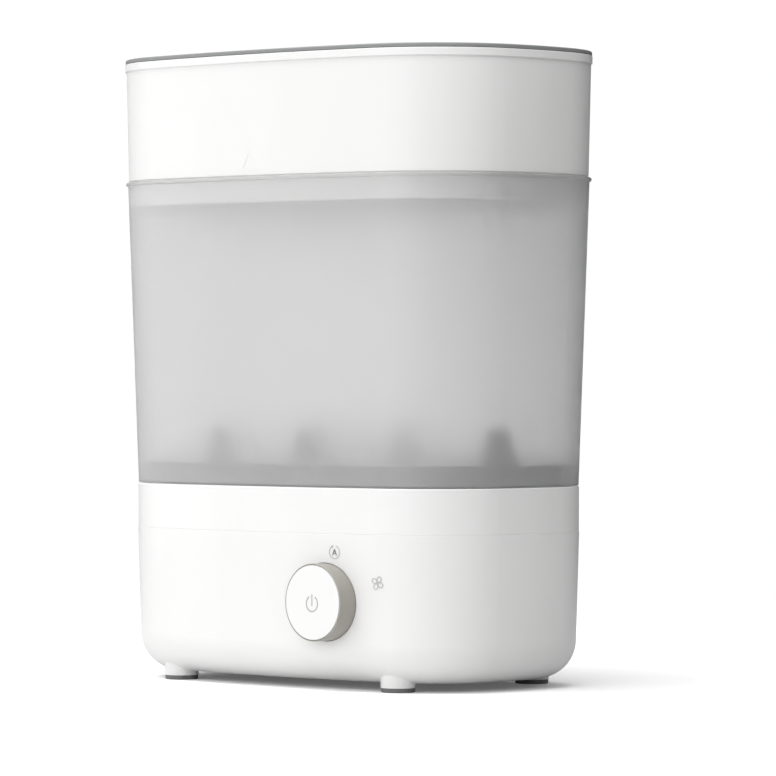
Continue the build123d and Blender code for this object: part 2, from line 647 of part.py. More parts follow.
def make_position_sensors():
    """Two Hall sensors that read the ring's magnet at either mode."""
    solids = []
    for angle in (AUTO_ANGLE, DRY_ANGLE):
        x, z = knob_point(MAGNET_R, angle)
        solids.append(block(x - 2, x + 2, BRACKET_Y - 1.2, BRACKET_Y, z - 2, z + 2))
    return Compound(children=solids)


def make_status_leds():
    solids = [block(x - 1.6, x + 1.6, BOARD_Y - 1.4, BOARD_Y, z - 1.2, z + 1.2)
              for x, z in (AUTO_ICON, DRY_ICON)]
    return Compound(children=solids)


def make_light_guides():
    """Clear posts that carry light from each lamp to the wall behind its mark."""
    solids = []
    for x, z in (AUTO_ICON, DRY_ICON):
        post = rod(x, z, -90, BOARD_Y - 1.4, 3.6)
        post = post & Pos(0, 0.3, 0) * housing_hollow()
        solids.append(post)
    return Compound(children=solids)


# =============================== knob ring and power button ===============================
WEB_Y0, WEB_Y1 = -80.5, -78.5
SKIRT_BACK_Y = POCKET_Y - 0.4
DETENT_Y0, DETENT_Y1 = POCKET_BACK_Y + 0.3, POCKET_BACK_Y + 2.7
DETENT_R, NOTCH_R = 17.0, 1.4
NIB_R = 0.9
BUTTON_FRONT_Y = KNOB_FRONT_Y - BUTTON_PROUD
BUTTON_BACK_Y = BUTTON_FRONT_Y + 2.5


def make_knob_ring():
    """The turning bezel: a cup with a bearing sleeve through the housing."""
    ring = rod(KNOB_X, KNOB_Z, KNOB_FRONT_Y, SKIRT_BACK_Y, KNOB_R)
    ring = fillet(ring.edges().group_by(Axis.Y)[0], 0.25)
    ring -= rod(KNOB_X, KNOB_Z, KNOB_FRONT_Y - 1, WEB_Y0, BUTTON_R + FIT_GAP)
    ring -= rod(KNOB_X, KNOB_Z, WEB_Y1, SKIRT_BACK_Y + 1, BUTTON_R)
    ring += rod(KNOB_X, KNOB_Z, WEB_Y0 + 0.5, DETENT_Y0, SLEEVE_R)
    return ring - rod(KNOB_X, KNOB_Z, WEB_Y0 - 1, -60.0, SLEEVE_BORE_R)


def make_detent_disc():
    """Disc behind the wall that holds the ring in and carries its magnet and notches."""
    disc = rod(KNOB_X, KNOB_Z, DETENT_Y0, DETENT_Y1, DETENT_R)
    disc -= rod(KNOB_X, KNOB_Z, DETENT_Y0 - 1, DETENT_Y1 + 1, SLEEVE_BORE_R)
    for angle in (270.0, 270.0 + AUTO_ANGLE - DRY_ANGLE):
        disc -= rod(*knob_point(DETENT_R, angle), DETENT_Y0 - 1, DETENT_Y1 + 1, NOTCH_R)
    return disc - rod(*knob_point(MAGNET_R, AUTO_ANGLE), DETENT_Y0 + 0.4, DETENT_Y1 + 1, 1.5)


def make_ring_magnet():
    return rod(*knob_point(MAGNET_R, AUTO_ANGLE), DETENT_Y0 + 0.4, DETENT_Y1, 1.45)


def make_detent_spring():
    """Leaf spring under the disc whose nib clicks into its notches."""
    nib_z = KNOB_Z - DETENT_R - FIT_GAP - NIB_R
    leaf_z1 = nib_z - NIB_R + 0.2
    nib = rod(KNOB_X, nib_z, DETENT_Y0 + 0.4, DETENT_Y1, NIB_R)
    leaf = block(KNOB_X - 9, KNOB_X + 9, DETENT_Y0 + 0.4, DETENT_Y1, leaf_z1 - 0.6, leaf_z1)
    foot = block(KNOB_X + 6, KNOB_X + 9, DETENT_Y0 + 0.4, BRACKET_Y, leaf_z1 - 0.6, leaf_z1)
    return nib + leaf + foot


def make_power_button():
    rim_y = BUTTON_FRONT_Y + 5.0
    disc = rod(KNOB_X, KNOB_Z, BUTTON_FRONT_Y, rim_y, BUTTON_R)
    disc = fillet(disc.edges().group_by(Axis.Y)[0], 0.3)
    disc -= rod(KNOB_X, KNOB_Z, BUTTON_BACK_Y, rim_y + 1, BUTTON_R - 1.6)
    return disc + rod(KNOB_X, KNOB_Z, BUTTON_BACK_Y - 0.5, STEM_END_Y, STEM_R)


SPRING_COIL_R, SPRING_WIRE_R, SPRING_TURNS = 5.3, 0.4, 4


def make_button_spring():
    """Coil between the guide tube and the back of the button."""
    start_y = GUIDE_FRONT_Y - SPRING_WIRE_R - 0.05
    length = start_y - (BUTTON_BACK_Y + SPRING_WIRE_R + 0.05)
    helix = Helix(pitch=length / SPRING_TURNS, height=length, radius=SPRING_COIL_R)
    section = Plane(origin=helix @ 0, z_dir=helix % 0) * Circle(SPRING_WIRE_R)
    coil = sweep(section, path=helix, is_frenet=True)
    return Pos(KNOB_X, start_y, KNOB_Z) * Rot(90, 0, 0) * coil


# =============================== printed marks ===============================
def stroke(x0, y0, x1, y1, width):
    turn = math.degrees(math.atan2(y1 - y0, x1 - x0))
    line = SlotCenterToCenter(math.hypot(x1 - x0, y1 - y0), width, rotation=turn)
    return Pos((x0 + x1) / 2, (y0 + y1) / 2) * line


def power_mark():
    """An open ring with a bar in its gap, a little under the button's centre."""
    ring = Circle(4.7) - Circle(4.0) - Pos(0, 4.2) * Rectangle(4.4, 4.4)
    return Pos(-0.2, -0.6) * (ring + stroke(0, -1.0, 0, 5.0, 0.7))


def auto_mark():
    """A letter A inside a circular arrow."""
    ring = Circle(3.8) - Circle(3.4) - Pos(-0.2, 3.6) * Rectangle(2.2, 2.4)
    head = Pos(-1.5, 3.2) * Rot(0, 0, -70) * RegularPolygon(1.0, 3)
    letter = stroke(-1.35, -1.7, 0, 1.6, 0.6) + stroke(1.35, -1.7, 0, 1.6, 0.6)
    return ring + head + letter + stroke(-0.8, -0.7, 0.8, -0.7, 0.5)


def dry_mark():
    """A fan: four open petals round a hub."""
    petal = Pos(2.3, 0) * (Ellipse(1.8, 1.6) - Ellipse(1.3, 1.1))
    mark = Circle(0.5)
    for angle in (60, 150, 240, 330):
        mark += Rot(0, 0, angle) * petal
    return mark


def print_on_housing(sketch, x, z):
    skin = housing_solid(INK) & front_prism(Rectangle(14, 14), x, z, -95.0, -60.0)
    return (skin - housing_solid()) & front_prism(sketch, x, z, -95.0, -60.0)


def make_auto_icon():
    return print_on_housing(auto_mark(), *AUTO_ICON)


def make_dry_icon():
    return print_on_housing(dry_mark(), *DRY_ICON)


def make_power_icon():
    return front_prism(power_mark(), KNOB_X, KNOB_Z, BUTTON_FRONT_Y - 0.1, BUTTON_FRONT_Y)


# =============================== cord gland ===============================
def make_cord_gland():
    """Rubber bush in the rear wall where the mains cord enters, bored right through."""
    flange = rod(GLAND_X, GLAND_Z, GLAND_SEAT_Y, GLAND_SEAT_Y + 2.4, 9.6)
    flange = chamfer(flange.edges().group_by(Axis.Y)[-1], 0.6)
    barrel = rod(GLAND_X, GLAND_Z, GLAND_BACK_Y - 2, GLAND_SEAT_Y + 1, 6.4)
    keeper = rod(GLAND_X, GLAND_Z, GLAND_BACK_Y - 4, GLAND_BACK_Y, 8.6)
    return flange + barrel + keeper - rod(GLAND_X, GLAND_Z, 60, 95, GLAND_BORE_R)


# =============================== large basket and bottle rack ===============================
def make_large_basket():
    bead_low = BASKET_TOP_Z - BEAD_H
    low_z, ledge_z = BASE_TOP_Z + FIT_GAP, RACK_Z - FIT_GAP
    wall = oval(low_z, BASKET_LOW_INSET, BASKET_TOP_Z, BASKET_HIGH_INSET)
    wall = fillet(lower_edges(wall), 0.5)
    bead = oval(bead_low, BEAD_INSET, BASKET_TOP_Z, BEAD_INSET)
    bead = fillet(lower_edges(bead) + upper_edges(bead), 0.8)
    spigot = oval(105.5, 11.0, BASE_TOP_Z + PAST, 10.5)
    body = wall + bead + spigot
    top = BASKET_TOP_Z + PAST
    body -= oval(ledge_z, basket_inset(ledge_z) + BASKET_WALL, top, basket_inset(top) + BASKET_WALL)
    return body - oval(100.0, 15.5, ledge_z + PAST, 15.5)


def grid_slots(reach_x, reach_y, pitch_x, pitch_y, width, length, blocked):
    """Slot places inside the oval, away from the blocked circles (x, y, radius)."""
    places = []
    count_x, count_y = int(reach_x / pitch_x), int(reach_y / pitch_y)
    for i in range(-count_x, count_x + 1):
        for j in range(-count_y, count_y + 1):
            x, y = i * pitch_x, j * pitch_y
            inside = (x / reach_x) ** 4 + ((abs(y) + length / 2) / reach_y) ** 4 < 1
            clear = all(math.hypot(x - bx, y - by) > r + length / 2 for bx, by, r in blocked)
            if inside and clear:
                places.append((x, y))
    return places


def rack_inset(z):
    return basket_inset(z) + BASKET_WALL + 0.5


def make_bottle_rack():
    """Slotted tray with a low rim, and hollow posts that the bottles stand on."""
    rim_top = RACK_Z + RACK_RIM_H
    floor_top, past_rim = RACK_Z + RACK_T, rim_top + PAST
    plate = oval(RACK_Z, rack_inset(RACK_Z), rim_top, rack_inset(rim_top))
    inner_low = rack_inset(floor_top) + RACK_RIM_WALL
    plate -= oval(floor_top, inner_low, past_rim, rack_inset(past_rim) + RACK_RIM_WALL)
    blocked = [(x, y, POST_LOW_R - 3) for x, y in POSTS]
    places = grid_slots(124, 66, 9.0, 18.0, 3.4, 14.0, blocked)
    plate -= slot_rows(places, 3.4, 14.0, RACK_Z - PAST, RACK_Z + RACK_T + PAST, 90)
    for x, y in POSTS:
        post = Pos(x, y, floor_top + POST_H / 2) * Cone(POST_LOW_R, POST_TOP_R, POST_H)
        plate += fillet(upper_edges(post), 2.0)
        plate -= Pos(x, y, RACK_Z - 1 + POST_H / 2) * Cone(POST_LOW_R - 1.6, POST_TOP_R - 1.6, POST_H)
    return plate


# =============================== small basket and tray ===============================
def make_small_basket():
    low_z, rim_low = BASKET_TOP_Z + 0.6, SMALL_TOP_Z - 4.5
    wall = oval(low_z, small_inset(low_z), SMALL_TOP_Z, SMALL_HIGH_INSET)
    wall = fillet(lower_edges(wall), 0.5)
    rim = oval(rim_low, 0.0, SMALL_TOP_Z, 0.0)
    rim = fillet(upper_edges(rim) + lower_edges(rim), 0.4)
    shoulder = oval(BASKET_TOP_Z, 3.2, BASKET_TOP_Z + 3, 3.2)
    skirt_top_inset = BASKET_HIGH_INSET + BASKET_WALL + FIT_GAP
    skirt_low = TRAY_Z - 2
    skirt_low_inset = basket_inset(skirt_low) + BASKET_WALL + FIT_GAP
    skirt = oval(skirt_low, skirt_low_inset, BASKET_TOP_Z + 1, skirt_top_inset)
    body = wall + rim + shoulder + skirt
    waist = BASKET_TOP_Z + 3
    inner_waist = small_inset(waist) + BASKET_WALL
    top = SMALL_TOP_Z + PAST
    body -= oval(waist, inner_waist, top, small_inset(top) + BASKET_WALL)
    body -= oval(TRAY_Z - FIT_GAP, 6.9, waist + PAST, 6.3)
    body -= oval(skirt_low - PAST, 11.5, TRAY_Z + PAST, 11.5)
    return body + alignment_mark()


def alignment_mark():
    """A faint raised triangle at the front that shows which way round the tier goes."""
    x, z = 0.0, BASKET_TOP_Z + 7.4
    frame = RegularPolygon(7.9, 3, rotation=90) - RegularPolygon(5.3, 3, rotation=90)
    low, high = BASKET_TOP_Z + 0.6, SMALL_TOP_Z - 5
    skin = oval(low, small_inset(low) - INK, high, small_inset(high) - INK)
    skin -= oval(low - 1, small_inset(low - 1) + 1, high + 1, small_inset(high + 1) + 1)
    return skin & front_prism(frame, x, z, -95.0, -60.0)


def make_item_tray():
    edge = 7.3
    plate = oval(TRAY_Z, edge, TRAY_Z + 2.0, edge)
    lip = oval(TRAY_Z, edge, TRAY_Z + 4.0, edge) - oval(TRAY_Z - 1, edge + 1.6, TRAY_Z + 5, edge + 1.6)
    places = grid_slots(128, 70, 9.0, 20.0, 3.4, 15.0, [])
    plate -= slot_rows(places, 3.4, 15.0, TRAY_Z - PAST, TRAY_Z + 3.0, 90)
    return plate + lip


# =============================== lid ===============================
VENT_Y = 58.0
VENT_L, VENT_W = 60.0, 16.0


def well(grow, z0, z1):
    shape = RectangleRounded(WELL_L + 2 * grow, WELL_W + 2 * grow, WELL_W / 2 + grow - 4)
    return Pos(0, 0, z0) * extrude(shape, amount=z1 - z0)


def make_lid():
    edge = oval(SMALL_TOP_Z + FIT_GAP, LID_INSET, LID_TOP_Z, LID_INSET)
    edge = fillet(upper_edges(edge), 0.9)
    skirt = oval(347.0, 3.7, SMALL_TOP_Z + PAST, 3.5)
    body = edge + skirt - oval(346.0, 5.6, 353.2, 5.4)
    body -= fillet(lower_edges(oval(355.6, 5.2, 359.0, 5.2)), 0.8)
    body += well(0.0, WELL_FLOOR_Z, 355.6)
    body -= fillet(lower_edges(well(-2.0, WELL_FLOOR_Z + 2.0, 360.0)), 3.0)
    vent_hole = Pos(0, VENT_Y, 350.0) * extrude(SlotOverall(VENT_L - 6, VENT_W - 6), amount=10)
    return body - vent_hole


def make_lid_grip():
    z0, z1 = WELL_FLOOR_Z + 2.0, LID_TOP_Z - 0.6
    bar = Pos(0, 0, z0) * extrude(RectangleRounded(96, 13, 6.4), amount=z1 - z0)
    return fillet(upper_edges(bar), 2.2)


def make_steam_vent():
    cap = Pos(0, VENT_Y, 355.6) * extrude(SlotOverall(VENT_L, VENT_W), amount=1.7)
    cap = fillet(upper_edges(cap), 0.6)
    plug = Pos(0, VENT_Y, 352.0) * extrude(SlotOverall(VENT_L - 6.6, VENT_W - 6.6), amount=4)
    body = cap + plug
    places = [(-20 + 5 * i, VENT_Y) for i in range(9)]
    return body - slot_rows(places, 2.0, 7.6, 350.0, 360.0, 90)


# =============================== wiring ===============================
LEAD_R = 1.2


def lead(points, radius):
    path = FilletPolyline(*points, radius=radius)
    section = Plane(origin=path @ 0, z_dir=path % 0) * Circle(LEAD_R)
    return sweep(section, path=path)


def make_heater_leads():
    """Two leads from the terminal block to the ends of the heating tube."""
    end_z = ELEMENT_Z - 12.0
    half_gap = ELEMENT_R * math.sin(math.radians(20))
    end_y = ELEMENT_R * math.cos(math.radians(20))
    solids = []
    for terminal_x, side in ((-72, -1), (-48, 1)):
        x = HEATER_X + side * half_gap
        start = (terminal_x, 19, POWER_BOARD_Z + BOARD_T + 6)
        solids.append(lead([start, (terminal_x, 19, 55), (x, end_y, 64), (x, end_y, end_z)], 6))
    return Compound(children=solids)


def make_drying_leads():
    """Two leads from the power board to the drying heater's bars."""
    z, wall_y = POWER_BOARD_Z + BOARD_T, DUCT[2] - 0.5
    solids = []
    for y, rise, end_x in ((-30.0, 64.0, 90.0), (-26.0, 68.0, 95.0)):
        points = [(-26, y, z + 1), (-26, y, rise), (end_x, y, rise), (end_x, wall_y, rise)]
        solids.append(lead(points, 2.6))
    return Compound(children=solids)


def make_ribbon_cable():
    """Flat cable from the power board up to the back of the control board."""
    z = POWER_BOARD_Z + BOARD_T
    flat = block(-26, 30, -50.0, -49.2, z, z + 9)
    socket = block(26, 34, BOARD_Y + BOARD_T, -49.2, z + 4, z + 15)
    plug = block(-30, -26, -50.4, -44.0, z, z + 9)
    return flat + plug + socket


NODES = {
    "lower_housing": make_lower_housing,
    "upper_housing": make_upper_housing,
    "basin_seal": make_basin_seal,
    "basin_deck": make_basin_deck,
    "foot_pads": make_foot_pads,
    "housing_screws": make_housing_screws,
    "heater_gasket": make_heater_gasket,
    "heating_plate": make_heating_plate,
    "heat_spreader": make_heat_spreader,
    "heating_element": make_heating_element,
    "heater_clamp": make_heater_clamp,
    "clamp_screws": make_clamp_screws,
    "thermostat": make_thermostat,
    "thermal_fuse": make_thermal_fuse,
    "blower_housing": make_blower_housing,
    "blower_cover": make_blower_cover,
    "blower_screws": make_blower_screws,
    "fan_motor": make_fan_motor,
    "impeller": make_impeller,
    "motor_shaft": make_motor_shaft,
    "air_duct": make_air_duct,
    "drying_heater": make_drying_heater,
    "outlet_cap": make_outlet_cap,
    "filter_holder": make_filter_holder,
    "air_filter": make_air_filter,
    "filter_cover": make_filter_cover,
    "power_board": make_power_board,
    "power_board_parts": make_power_board_parts,
    "board_screws": make_board_screws,
    "control_bracket": make_control_bracket,
    "control_board": make_control_board,
    "board_spacers": make_board_spacers,
    "control_screws": make_control_screws,
    "tact_switch": make_tact_switch,
    "switch_plunger": make_switch_plunger,
    "position_sensors": make_position_sensors,
    "status_leds": make_status_leds,
    "light_guides": make_light_guides,
    "knob_ring": make_knob_ring,
    "detent_disc": make_detent_disc,
    "ring_magnet": make_ring_magnet,
    "detent_spring": make_detent_spring,
    "power_button": make_power_button,
    "button_spring": make_button_spring,
    "auto_icon": make_auto_icon,
    "dry_icon": make_dry_icon,
    "power_icon": make_power_icon,
    "cord_gland": make_cord_gland,
    "large_basket": make_large_basket,
    "bottle_rack": make_bottle_rack,
    "small_basket": make_small_basket,
    "item_tray": make_item_tray,
    "lid": make_lid,
    "lid_grip": make_lid_grip,
    "steam_vent": make_steam_vent,
    "heater_leads": make_heater_leads,
    "drying_leads": make_drying_leads,
    "ribbon_cable": make_ribbon_cable,
}

os.makedirs("parts", exist_ok=True)
for node, make in NODES.items():
    export_step(make(), f"parts/{node}.step")
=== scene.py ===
import json
import math

import bpy
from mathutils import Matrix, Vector


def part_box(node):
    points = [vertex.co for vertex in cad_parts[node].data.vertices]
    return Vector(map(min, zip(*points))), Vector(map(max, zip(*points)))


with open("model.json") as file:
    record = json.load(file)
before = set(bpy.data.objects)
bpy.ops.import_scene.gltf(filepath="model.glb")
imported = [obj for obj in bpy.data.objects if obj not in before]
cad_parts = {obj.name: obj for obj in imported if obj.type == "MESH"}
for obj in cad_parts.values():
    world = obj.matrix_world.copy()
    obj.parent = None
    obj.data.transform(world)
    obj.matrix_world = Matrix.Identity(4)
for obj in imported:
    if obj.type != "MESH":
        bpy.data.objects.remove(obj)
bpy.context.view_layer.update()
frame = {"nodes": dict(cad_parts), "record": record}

NODES = frame["nodes"]


# ---------------------------------------------------------------- material helpers
def map_range(tree, value, start, end, low, high):
    """Takes an output that runs from start to end over to low to high."""
    made = tree.nodes.new("ShaderNodeMapRange")
    for label, setting in (("From Min", start), ("From Max", end), ("To Min", low), ("To Max", high)):
        made.inputs[label].default_value = setting
    tree.links.new(value, made.inputs["Value"])
    return made.outputs["Result"]


class Shader:
    """A material with a Principled shader and short names for the nodes it is built from."""

    def __init__(self, name, colour, roughness, **inputs):
        self.material = bpy.data.materials.new(name)
        self.material.use_nodes = True
        self.tree = self.material.node_tree
        self.bsdf = self.tree.nodes["Principled BSDF"]
        self.set("Base Color", (*colour, 1.0))
        self.set("Roughness", roughness)
        for label, value in inputs.items():
            self.set(label.replace("_", " "), value)
        self.coords = self.node("ShaderNodeTexCoord").outputs["Object"]

    def node(self, kind, **settings):
        made = self.tree.nodes.new(kind)
        for key, value in settings.items():
            setattr(made, key, value)
        return made

    def link(self, output, target):
        self.tree.links.new(output, target)

    def set(self, label, value):
        self.bsdf.inputs[label].default_value = value

    def scaled(self, scale):
        """Object coordinates stretched by a number for each axis."""
        mapping = self.node("ShaderNodeMapping")
        mapping.inputs["Scale"].default_value = scale
        self.link(self.coords, mapping.inputs["Vector"])
        return mapping.outputs["Vector"]

    def noise(self, scale, detail=3.0, rough=0.5, vector=None, distortion=0.0):
        made = self.node("ShaderNodeTexNoise")
        made.inputs["Scale"].default_value = scale
        made.inputs["Detail"].default_value = detail
        made.inputs["Roughness"].default_value = rough
        made.inputs["Distortion"].default_value = distortion
        self.link(vector or self.coords, made.inputs["Vector"])
        return made.outputs["Fac"]

    def ramp(self, fac, low, high, start=0.3, end=0.7):
        """A colour ramp from low to high; either may be a number or a colour."""
        made = self.node("ShaderNodeValToRGB")
        first, last = made.color_ramp.elements
        first.position, last.position = start, end
        for element, value in ((first, low), (last, high)):
            element.color = (*value, 1.0) if isinstance(value, tuple) else (value, value, value, 1.0)
        self.link(fac, made.inputs["Fac"])
        return made.outputs["Color"]

    def vary_colour(self, fac, low, high, start=0.3, end=0.7):
        self.link(self.ramp(fac, low, high, start, end), self.bsdf.inputs["Base Color"])

    def vary_roughness(self, fac, low, high):
        self.link(self.ramp(fac, low, high), self.bsdf.inputs["Roughness"])

    def vector_math(self, operation, first, second=None):
        """A vector maths node on an output and, where it takes two, a fixed vector."""
        made = self.node("ShaderNodeVectorMath", operation=operation)
        self.link(first, made.inputs[0])
        if second is not None:
            made.inputs[1].default_value = second
        return made.outputs

    def reach_from(self, centre, along=(1.0, 1.0, 1.0)):
        """Distance from centre, counting only the axes that have a 1 in along."""
        shift = self.vector_math("SUBTRACT", self.coords, centre)["Vector"]
        flat = self.vector_math("MULTIPLY", shift, along)["Vector"]
        return self.vector_math("LENGTH", flat)["Value"]

    def bump(self, fac, distance, strength=0.5):
        made = self.node("ShaderNodeBump")
        made.inputs["Distance"].default_value = distance
        made.inputs["Strength"].default_value = strength
        self.link(fac, made.inputs["Height"])
        self.link(made.outputs["Normal"], self.bsdf.inputs["Normal"])

    def let_lamps_through(self, tint):
        """Lets lamp light cross the walls, tinted, so that it also reaches what is behind them."""
        clear = self.node("ShaderNodeBsdfTransparent")
        clear.inputs["Color"].default_value = (tint, tint, tint, 1.0)
        path, mix = self.node("ShaderNodeLightPath"), self.node("ShaderNodeMixShader")
        self.link(path.outputs["Is Shadow Ray"], mix.inputs["Fac"])
        self.link(self.bsdf.outputs["BSDF"], mix.inputs[1])
        self.link(clear.outputs["BSDF"], mix.inputs[2])
        self.link(mix.outputs["Shader"], self.tree.nodes["Material Output"].inputs["Surface"])


def centre_of(node):
    """The middle of a CAD node's box at rest."""
    return sum(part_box(node), Vector()) / 2


def shade(colour, factor):
    """The colour made lighter or darker, with no channel past white."""
    return tuple(min(1.0, channel * factor) for channel in colour)


FLOW_SCALE, FLOW_STRETCH = 14.0, (1.0, 1.0, 0.35)
GLOSS_SCALE, GLOSS_SPREAD = 60.0, 0.12


def moulded(name, colour, roughness, grain=0.00002, grain_scale=1800.0, spread=0.02, **inputs):
    """Moulded plastic: faint flow tone, slightly uneven gloss and a fine moulded grain."""
    made = Shader(name, colour, roughness, **inputs)
    flow = made.noise(FLOW_SCALE, 3.0, 0.5, made.scaled(FLOW_STRETCH))
    made.vary_colour(flow, shade(colour, 1.0 - spread), shade(colour, 1.0 + spread * 0.5))
    duller, glossier = roughness * (1.0 + GLOSS_SPREAD), roughness * (1.0 - GLOSS_SPREAD)
    made.vary_roughness(made.noise(GLOSS_SCALE, 4.0), glossier, duller)
    made.bump(made.noise(grain_scale, 2.0), grain, 0.35)
    return made


def rubbery(name, colour):
    """Matt rubber or silicone with a coarse grain."""
    made = Shader(name, colour, 0.75)
    made.vary_colour(made.noise(220.0, 5.0), shade(colour, 0.86), shade(colour, 1.1))
    made.vary_roughness(made.noise(90.0, 3.0), 0.66, 0.84)
    made.bump(made.noise(2600.0, 3.0, 0.7), 0.00006, 0.6)
    return made


def metal(name, colour, roughness, stretch=(1.0, 1.0, 1.0), scale=900.0, depth=0.00002):
    """Metal with scratches stretched along the axes that have small numbers in stretch."""
    made = Shader(name, colour, roughness, Metallic=1.0)
    lines = made.noise(scale, 5.0, 0.6, made.scaled(stretch))
    made.vary_roughness(lines, roughness * 0.7, roughness * 1.35)
    made.vary_colour(made.noise(45.0, 3.0), shade(colour, 0.9), shade(colour, 1.05))
    made.bump(lines, depth, 0.4)
    return made


def turned_metal(name, colour, centre, roughness):
    """Stainless brushed in circles about a vertical axis through centre."""
    made = Shader(name, colour, roughness, Metallic=1.0)
    spread = made.node("ShaderNodeCombineXYZ")
    made.link(made.reach_from(centre, along=(1.0, 1.0, 0.0)), spread.inputs["X"])
    rings = made.noise(2400.0, 4.0, 0.6, spread.outputs["Vector"])
    made.vary_roughness(rings, roughness * 0.7, roughness * 1.4)
    made.vary_colour(made.noise(30.0, 3.0), shade(colour, 0.88), shade(colour, 1.04))
    made.bump(rings, 0.00002, 0.5)
    return made


# ---------------------------------------------------------------- the object's materials
FROSTED_IOR = 1.42
LAMP_TINT = 0.75


def frosted_basket():
    """Rough see-through plastic that shows what stands behind it as a blur."""
    made = moulded("frosted_basket", (0.90, 0.905, 0.90), 0.34, grain=0.000008, grain_scale=900.0,
                   spread=0.01, Transmission_Weight=0.8, IOR=FROSTED_IOR)
    made.let_lamps_through(LAMP_TINT)
    return made


def frosted_lid():
    """Grey plastic that only just lets light through."""
    return moulded("frosted_lid", (0.30, 0.305, 0.31), 0.42, grain_scale=2400.0,
                   Transmission_Weight=0.15, IOR=FROSTED_IOR)


def circuit_board(name):
    """Green solder resist with raised tracks under a gloss coat."""
    green, copper_green = (0.020, 0.105, 0.045), (0.045, 0.19, 0.085)
    made = Shader(name, green, 0.32, Coat_Weight=0.4, Coat_Roughness=0.2)
    tracks = made.node("ShaderNodeTexBrick")
    tracks.inputs["Scale"].default_value = 170.0
    tracks.inputs["Mortar Size"].default_value = 0.035
    tracks.inputs["Mortar Smooth"].default_value = 0.1
    tracks.inputs["Color1"].default_value = (0.0, 0.0, 0.0, 1.0)
    tracks.inputs["Color2"].default_value = (0.25, 0.25, 0.25, 1.0)
    tracks.inputs["Mortar"].default_value = (1.0, 1.0, 1.0, 1.0)
    made.link(made.coords, tracks.inputs["Vector"])
    made.vary_colour(tracks.outputs["Color"], green, copper_green, 0.0, 1.0)
    made.vary_roughness(made.noise(300.0), 0.26, 0.40)
    made.bump(tracks.outputs["Color"], 0.00005, 0.4)
    return made


# How far from the mark's middle the letter ends and the ring begins, in metres.
LETTER_REACH, RING_REACH = 0.0027, 0.0031


def printed_mark(centre):
    """Dark print whose outer ring, away from the letter at its centre, is a lighter grey."""
    letter, ring = (0.12, 0.12, 0.12), (0.50, 0.50, 0.50)
    made = Shader("icon_dark", letter, 0.5)
    made.vary_colour(made.reach_from(centre), letter, ring, LETTER_REACH, RING_REACH)
    made.vary_roughness(made.noise(300.0), 0.44, 0.56)
    return made


def filter_felt():
    """Matt off-white felt with upright fibres."""
    colour = (0.80, 0.80, 0.77)
    made = Shader("filter_felt", colour, 0.95, Sheen_Weight=0.3)
    fibres = made.noise(1800.0, 8.0, 0.75, made.scaled((1.0, 1.0, 0.15)), 1.5)
    made.vary_colour(fibres, shade(colour, 0.72), shade(colour, 1.1))
    made.bump(fibres, 0.00025, 0.9)
    return made


def build_materials():
    """One finished material for each material slot of the record."""
    heater = centre_of("heating_plate")
    lengthways, upright = (0.04, 1.0, 1.0), (1.0, 1.0, 0.05)
    return {
        "white_shell": moulded("white_shell", (0.84, 0.84, 0.835), 0.34, grain=0.000008),
        "frosted_clear": frosted_basket(),
        "lid_grey": frosted_lid(),
        "rack_grey": moulded("rack_grey", (0.08, 0.081, 0.083), 0.5),
        "taupe": moulded("taupe", (0.37, 0.355, 0.32), 0.42),
        "pad_rubber": rubbery("pad_rubber", (0.17, 0.17, 0.17)),
        "silicone": rubbery("silicone", (0.68, 0.68, 0.67)),
        "gland_rubber": rubbery("gland_rubber", (0.55, 0.55, 0.55)),
        "steel_polished": turned_metal("steel_polished", (0.66, 0.66, 0.67), heater, 0.24),
        "element_steel": metal("element_steel", (0.34, 0.30, 0.26), 0.38),
        "cast_alloy": metal("cast_alloy", (0.55, 0.56, 0.57), 0.55, scale=500.0, depth=0.0001),
        "sheet_steel": metal("sheet_steel", (0.58, 0.58, 0.59), 0.3, lengthways),
        "screw_steel": metal("screw_steel", (0.52, 0.52, 0.54), 0.28, upright),
        "dark_plastic": moulded("dark_plastic", (0.018, 0.018, 0.02), 0.48, grain=0.00005),
        "grey_plastic": moulded("grey_plastic", (0.19, 0.195, 0.20), 0.5, grain=0.00004),
        "motor_metal": metal("motor_metal", (0.11, 0.095, 0.085), 0.45, (0.2, 0.2, 1.0), 3000.0),
        "ceramic_heater": metal("ceramic_heater", (0.50, 0.50, 0.51), 0.35, upright),
        "filter_felt": filter_felt(),
        "board_green": circuit_board("board_green"),
        "clear_light": moulded("clear_light", (0.85, 0.87, 0.88), 0.12, Transmission_Weight=0.9),
        "lamp_white": moulded("lamp_white", (0.80, 0.76, 0.55), 0.3),
        "magnet_grey": metal("magnet_grey", (0.45, 0.45, 0.47), 0.15),
        "icon_dark": printed_mark(centre_of("auto_icon")),
        "icon_mid": moulded("icon_mid", (0.40, 0.40, 0.40), 0.5),
        "icon_light": moulded("icon_light", (0.52, 0.52, 0.52), 0.5),
        "lead_silicone": rubbery("lead_silicone", (0.42, 0.02, 0.015)),
        "ribbon_grey": moulded("ribbon_grey", (0.30, 0.31, 0.32), 0.45),
    }


def dress_nodes(materials):
    """Gives each CAD node the finished material of its slot."""
    for entry in frame["record"]["subparts"]:
        node = NODES[entry["node"]]
        node.data.materials.clear()
        node.data.materials.append(materials[entry["material_slot"]].material)


# ---------------------------------------------------------------- floor, light and camera
# The camera stands this far round to the right, and this far off and up in metres.
CAMERA_AZIMUTH = math.radians(44.4)
CAMERA_REACH, CAMERA_HEIGHT = 2.91, 0.1815
CAMERA_LENS = 234.7
YAW_OFF_AXIS, PITCH_DOWN = math.radians(0.368), math.radians(0.2553)


